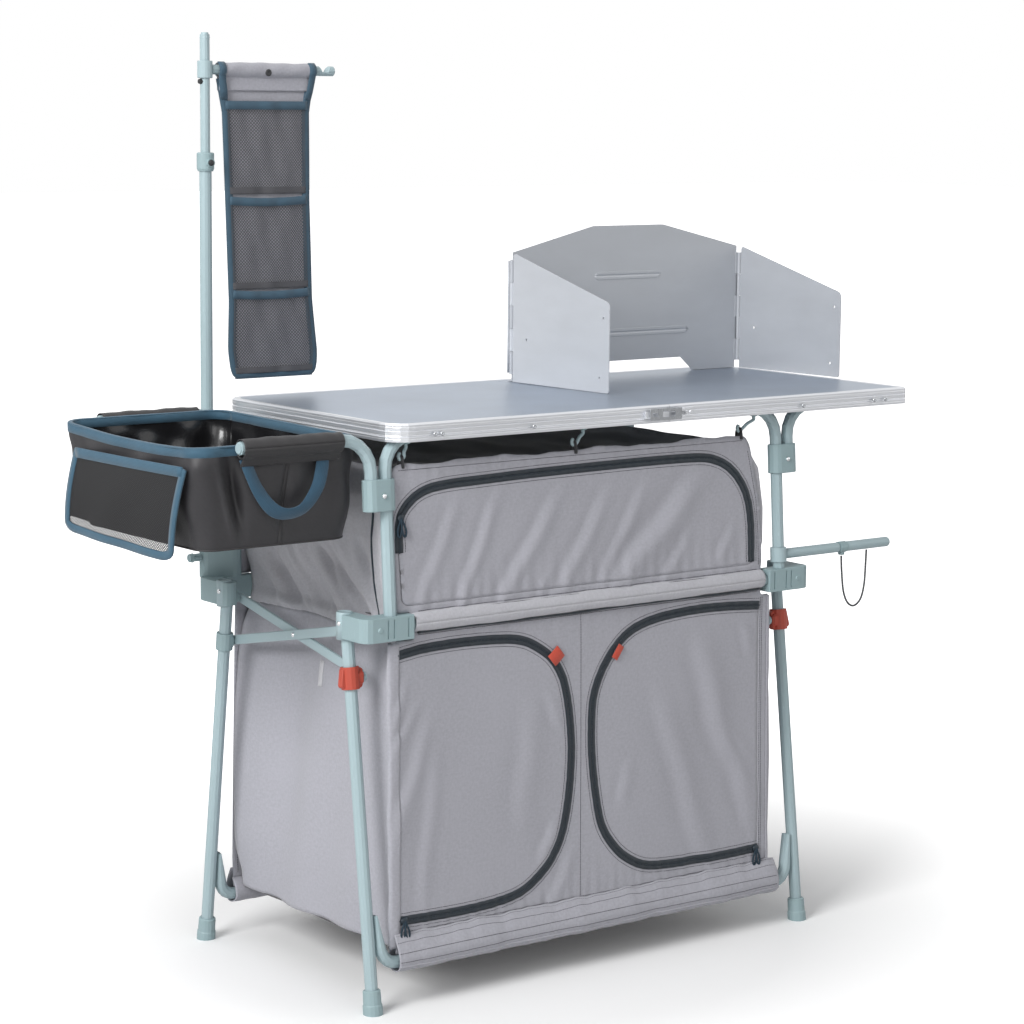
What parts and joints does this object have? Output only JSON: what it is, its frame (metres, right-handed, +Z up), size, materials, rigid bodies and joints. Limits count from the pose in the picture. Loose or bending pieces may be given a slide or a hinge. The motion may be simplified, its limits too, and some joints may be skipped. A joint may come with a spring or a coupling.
{
  "type": "camping cupboard",
  "caption": "Folding camp kitchen: table top on splayed legs over a zipped fabric cupboard, with wind shield, side basin, towel arm and a mast with an organiser.",
  "frame": {"origin": "on the floor, under the middle of the whole outline", "axes": "+Z up, +X along the table towards the wind shield, +Y away from the doors"},
  "size_m": [1.2777, 0.474, 1.351],
  "materials": {
    "painted_tube": "painted grey-teal",
    "teal_plastic": "moulded, satin",
    "black_plastic": "moulded",
    "red_plastic": "moulded",
    "rim_aluminium": "satin extrusion",
    "deck_board": "board faced with brushed aluminium sheet",
    "shield_sheet": "bare sheet",
    "dark_cloth": "coated cloth",
    "grey_cloth": "woven",
    "elastic_cord": "braided"
  },
  "bodies": {
    "back_frame": {"leg_back_left": "painted_tube", "foot_back_left": "black_plastic", "bracket_back_left": "teal_plastic", "twin_clamp_back_left": "teal_plastic", "leg_back_right": "painted_tube", "foot_back_right": "black_plastic", "bracket_back_right": "teal_plastic", "twin_clamp_back_right": "teal_plastic", "bottom_rail_back": "painted_tube", "mid_rail_back": "painted_tube", "upper_frame_back": "painted_tube", "basin_arm_back": "painted_tube", "table_arm_back": "painted_tube", "table_rim_left": "rim_aluminium", "table_deck_left": "deck_board", "table_rim_right": "rim_aluminium", "table_deck_right": "deck_board", "shield_back": "shield_sheet", "mast_lower": "painted_tube", "mast_collar": "teal_plastic", "cover_back": "grey_cloth", "cover_bellows": "grey_cloth"},
    "front_frame": {"leg_front_left": "painted_tube", "foot_front_left": "black_plastic", "bracket_front_left": "teal_plastic", "twin_clamp_front_left": "teal_plastic", "leg_front_right": "painted_tube", "foot_front_right": "black_plastic", "bracket_front_right": "teal_plastic", "twin_clamp_front_right": "teal_plastic", "bottom_rail_front": "painted_tube", "mid_rail_front": "painted_tube", "upper_frame_front": "painted_tube", "basin_arm_front": "painted_tube", "table_arm_front": "painted_tube", "cover_front": "grey_cloth"},
    "scissor_b": {"scissor_b_left": "painted_tube", "scissor_b_right": "painted_tube"},
    "scissor_a": {"scissor_a_left": "painted_tube", "scissor_a_right": "painted_tube"},
    "lock_clips": {"lock_clip_left": "red_plastic", "lock_clip_right": "red_plastic"},
    "slide_collars": {"slide_collar_left": "teal_plastic", "slide_collar_right": "teal_plastic"},
    "door_upper": {"door_upper": "grey_cloth"},
    "door_lower_left": {"door_lower_left": "grey_cloth"},
    "door_lower_right": {"door_lower_right": "grey_cloth"},
    "wing_left": {"shield_wing_left": "shield_sheet"},
    "wing_right": {"shield_wing_right": "shield_sheet"},
    "latch": {"latch_lever": "shield_sheet"},
    "clamp_screw": {"mast_screw": "black_plastic"},
    "mast_button": {"mast_button": "black_plastic"},
    "mast_upper": {"mast_upper": "painted_tube"},
    "arm_button": {"arm_button": "black_plastic"},
    "hook_arm": {"hook_arm": "painted_tube"},
    "organiser": {"organiser": "dark_cloth"},
    "towel_arm": {"towel_arm": "teal_plastic", "towel_clip": "teal_plastic", "towel_loop": "elastic_cord"},
    "basin": {"basin": "dark_cloth"}
  },
  "joints": [
    {"name": "fold", "type": "hinge", "parent": "back_frame", "child": "scissor_b", "pos_m": [0.0215, 0.15684, 0.531], "axis": [1, 0, 0], "range_deg": [0, 70.25], "deforming": ["cover_bellows", "basin"]},
    {"name": "scissor_cross", "type": "hinge", "parent": "scissor_b", "child": "scissor_a", "pos_m": [0.0215, 0, 0.49931], "axis": [1, 0, 0], "range_deg": [-127.21, 0]},
    {"name": "front_pivot", "type": "hinge", "parent": "scissor_a", "child": "front_frame", "pos_m": [0.0215, -0.15684, 0.531], "axis": [1, 0, 0], "range_deg": [0, 70.3]},
    {"name": "clip_slide", "type": "slide", "parent": "front_frame", "child": "lock_clips", "axis": [0, -0.1229, -0.9924], "range_m": [0, 0.2517]},
    {"name": "collar_slide", "type": "slide", "parent": "back_frame", "child": "slide_collars", "axis": [0, 0.1229, -0.9924], "range_m": [0, 0.2517]},
    {"name": "door_upper_hinge", "type": "hinge", "parent": "front_frame", "child": "door_upper", "pos_m": [-0.2835, -0.20428, 0.56594], "axis": [1, 0, 0], "range_deg": [0, 95]},
    {"name": "door_lower_left_hinge", "type": "hinge", "parent": "front_frame", "child": "door_lower_left", "pos_m": [-0.3245, -0.21352, 0.12299], "axis": [0, -0.0178, -0.9998], "range_deg": [0, 110]},
    {"name": "door_lower_right_hinge", "type": "hinge", "parent": "front_frame", "child": "door_lower_right", "pos_m": [0.3435, -0.21348, 0.12499], "axis": [0, 0.0178, 0.9998], "range_deg": [0, 110]},
    {"name": "wing_left_hinge", "type": "hinge", "parent": "back_frame", "child": "wing_left", "pos_m": [0.1525, 0.1712, 0.8208], "axis": [0, 0, 1], "range_deg": [-80, 84]},
    {"name": "wing_right_hinge", "type": "hinge", "parent": "back_frame", "child": "wing_right", "pos_m": [0.6265, 0.1712, 0.8208], "axis": [0, 0, -1], "range_deg": [-82, 86]},
    {"name": "latch_hinge", "type": "hinge", "parent": "back_frame", "child": "latch", "pos_m": [0.167, -0.2244, 0.808], "axis": [0, 0, 1], "range_deg": [0, 110]},
    {"name": "clamp_screw_turn", "type": "hinge", "parent": "back_frame", "child": "clamp_screw", "pos_m": [-0.3849, 0.222, 0.584], "axis": [-1, 0, 0], "range_deg": [0, 180]},
    {"name": "mast_button_press", "type": "slide", "parent": "back_frame", "child": "mast_button", "axis": [0, 1, 0], "range_m": [0, 0.002], "stiffness_N_per_m": 900, "springref_m": -0.001},
    {"name": "mast_slide", "type": "slide", "parent": "back_frame", "child": "mast_upper", "axis": [0, 0, -1], "range_m": [0, 0.095], "deforming": ["organiser"]},
    {"name": "arm_button_press", "type": "slide", "parent": "mast_upper", "child": "arm_button", "axis": [1, 0, 0], "range_m": [0, 0.0028], "stiffness_N_per_m": 900, "springref_m": -0.001},
    {"name": "hook_arm_swivel", "type": "hinge", "parent": "mast_upper", "child": "hook_arm", "pos_m": [-0.3715, 0.222, 1.298], "axis": [0, 0, 1], "range_deg": [-90, 180]},
    {"name": "organiser_swing", "type": "hinge", "parent": "hook_arm", "child": "organiser", "pos_m": [-0.3715, 0.222, 1.298], "axis": [1, 0, 0], "range_deg": [-30, 30]},
    {"name": "towel_arm_swing", "type": "hinge", "parent": "front_frame", "child": "towel_arm", "pos_m": [0.3825, -0.20357, 0.576], "axis": [0, -0.0698, -0.9976], "range_deg": [0, 90]},
    {"name": "basin_slide", "type": "slide", "parent": "back_frame", "child": "basin", "axis": [-1, 0, 0], "range_m": [0, 0.15]}
  ],
  "couplings": [
    {"joint": "scissor_cross", "follows": "fold", "ratio": -1.81},
    {"joint": "front_pivot", "follows": "fold", "ratio": 1},
    {"joint": "clip_slide", "follows": "fold", "m_per_rad": 0.20516},
    {"joint": "collar_slide", "follows": "fold", "m_per_rad": 0.20516}
  ]
}
